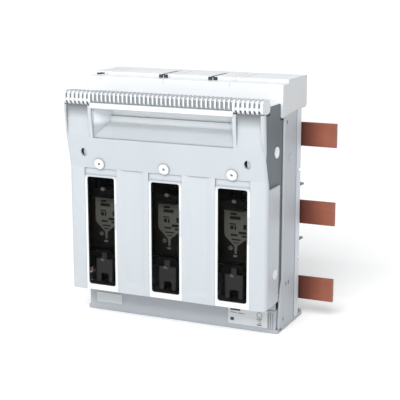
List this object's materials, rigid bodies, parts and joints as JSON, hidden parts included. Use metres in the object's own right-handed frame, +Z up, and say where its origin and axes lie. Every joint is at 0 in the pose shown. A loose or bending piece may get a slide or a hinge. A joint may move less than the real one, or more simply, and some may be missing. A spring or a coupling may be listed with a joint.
{
  "type": "fuse switch disconnector",
  "caption": "Fuse switch disconnector for hooking onto busbars, with a swing-out fuse lid, a ribbed grip bar and sliding inspection windows.",
  "frame": {"origin": "centre of the bottom plate's underside", "axes": "+X along the busbars, +Y from the front lid towards the busbars, +Z up"},
  "size_m": [0.357, 0.148, 0.3126],
  "materials": {
    "housing": "fine moulded grain, blue grey",
    "housing_rear": "fine moulded grain, cool grey",
    "cover": "smooth light grey",
    "lid": "smooth satin, bluish white",
    "lid_side": "dark grey satin",
    "clear": "clear polycarbonate",
    "carrier": "dark grey moulded",
    "copper": "bare copper, slightly tarnished",
    "steel": "zinc plated",
    "silver": "silver plated",
    "ceramic": "unglazed steatite",
    "label": "bare plate"
  },
  "bodies": {
    "root": {"bottom_plate": "housing", "lower_cover": "housing", "rating_plate": "label", "label_holder": "label", "side_wall_left": "housing", "side_wall_right": "housing", "base_moulding": "housing_rear", "adapter": "housing_rear", "phase_shelves": "carrier", "top_cover": "cover", "cover_clips": "cover", "arc_plates": "steel", "feed_bolts": "steel", "terminal_bolts": "steel", "hinge_pins": "steel", "busbar_1": "copper", "busbar_2": "copper", "busbar_3": "copper", "bar_clamp_1": "steel", "bar_clamp_2": "steel", "bar_clamp_3": "steel", "feed_strap_1": "copper", "feed_strap_2": "copper", "feed_strap_3": "copper", "upper_contact_1": "silver", "upper_contact_2": "silver", "upper_contact_3": "silver", "lower_contact_1": "silver", "lower_contact_2": "silver", "lower_contact_3": "silver", "contact_springs_1": "steel", "contact_springs_2": "steel", "contact_springs_3": "steel", "arc_chamber_1": "carrier", "arc_chamber_2": "carrier", "arc_chamber_3": "carrier"},
    "lid": {"lid_shell": "lid", "grip_pocket": "lid", "grip_bar": "lid", "side_panel_left": "lid_side", "side_panel_right": "lid_side", "side_buttons": "lid", "fuse_carrier_1": "carrier", "fuse_carrier_2": "carrier", "fuse_carrier_3": "carrier", "fuse_body_1": "ceramic", "fuse_body_2": "ceramic", "fuse_body_3": "ceramic", "fuse_end_plates_1": "silver", "fuse_end_plates_2": "silver", "fuse_end_plates_3": "silver", "fuse_blades_1": "silver", "fuse_blades_2": "silver", "fuse_blades_3": "silver"},
    "window_1": {"window_frame_1": "lid", "window_pane_1": "clear"},
    "window_2": {"window_frame_2": "lid", "window_pane_2": "clear"},
    "window_3": {"window_frame_3": "lid", "window_pane_3": "clear"}
  },
  "joints": [
    {"name": "lid_hinge", "type": "hinge", "parent": "root", "child": "lid", "pos_m": [0, -0.0495, 0.045], "axis": [1, 0, 0], "range_deg": [0, 80]},
    {"name": "window_slide_1", "type": "slide", "parent": "lid", "child": "window_1", "axis": [0, 0, 1], "range_m": [0, 0.005]},
    {"name": "window_slide_2", "type": "slide", "parent": "lid", "child": "window_2", "axis": [0, 0, 1], "range_m": [0, 0.005]},
    {"name": "window_slide_3", "type": "slide", "parent": "lid", "child": "window_3", "axis": [0, 0, 1], "range_m": [0, 0.005]}
  ]
}
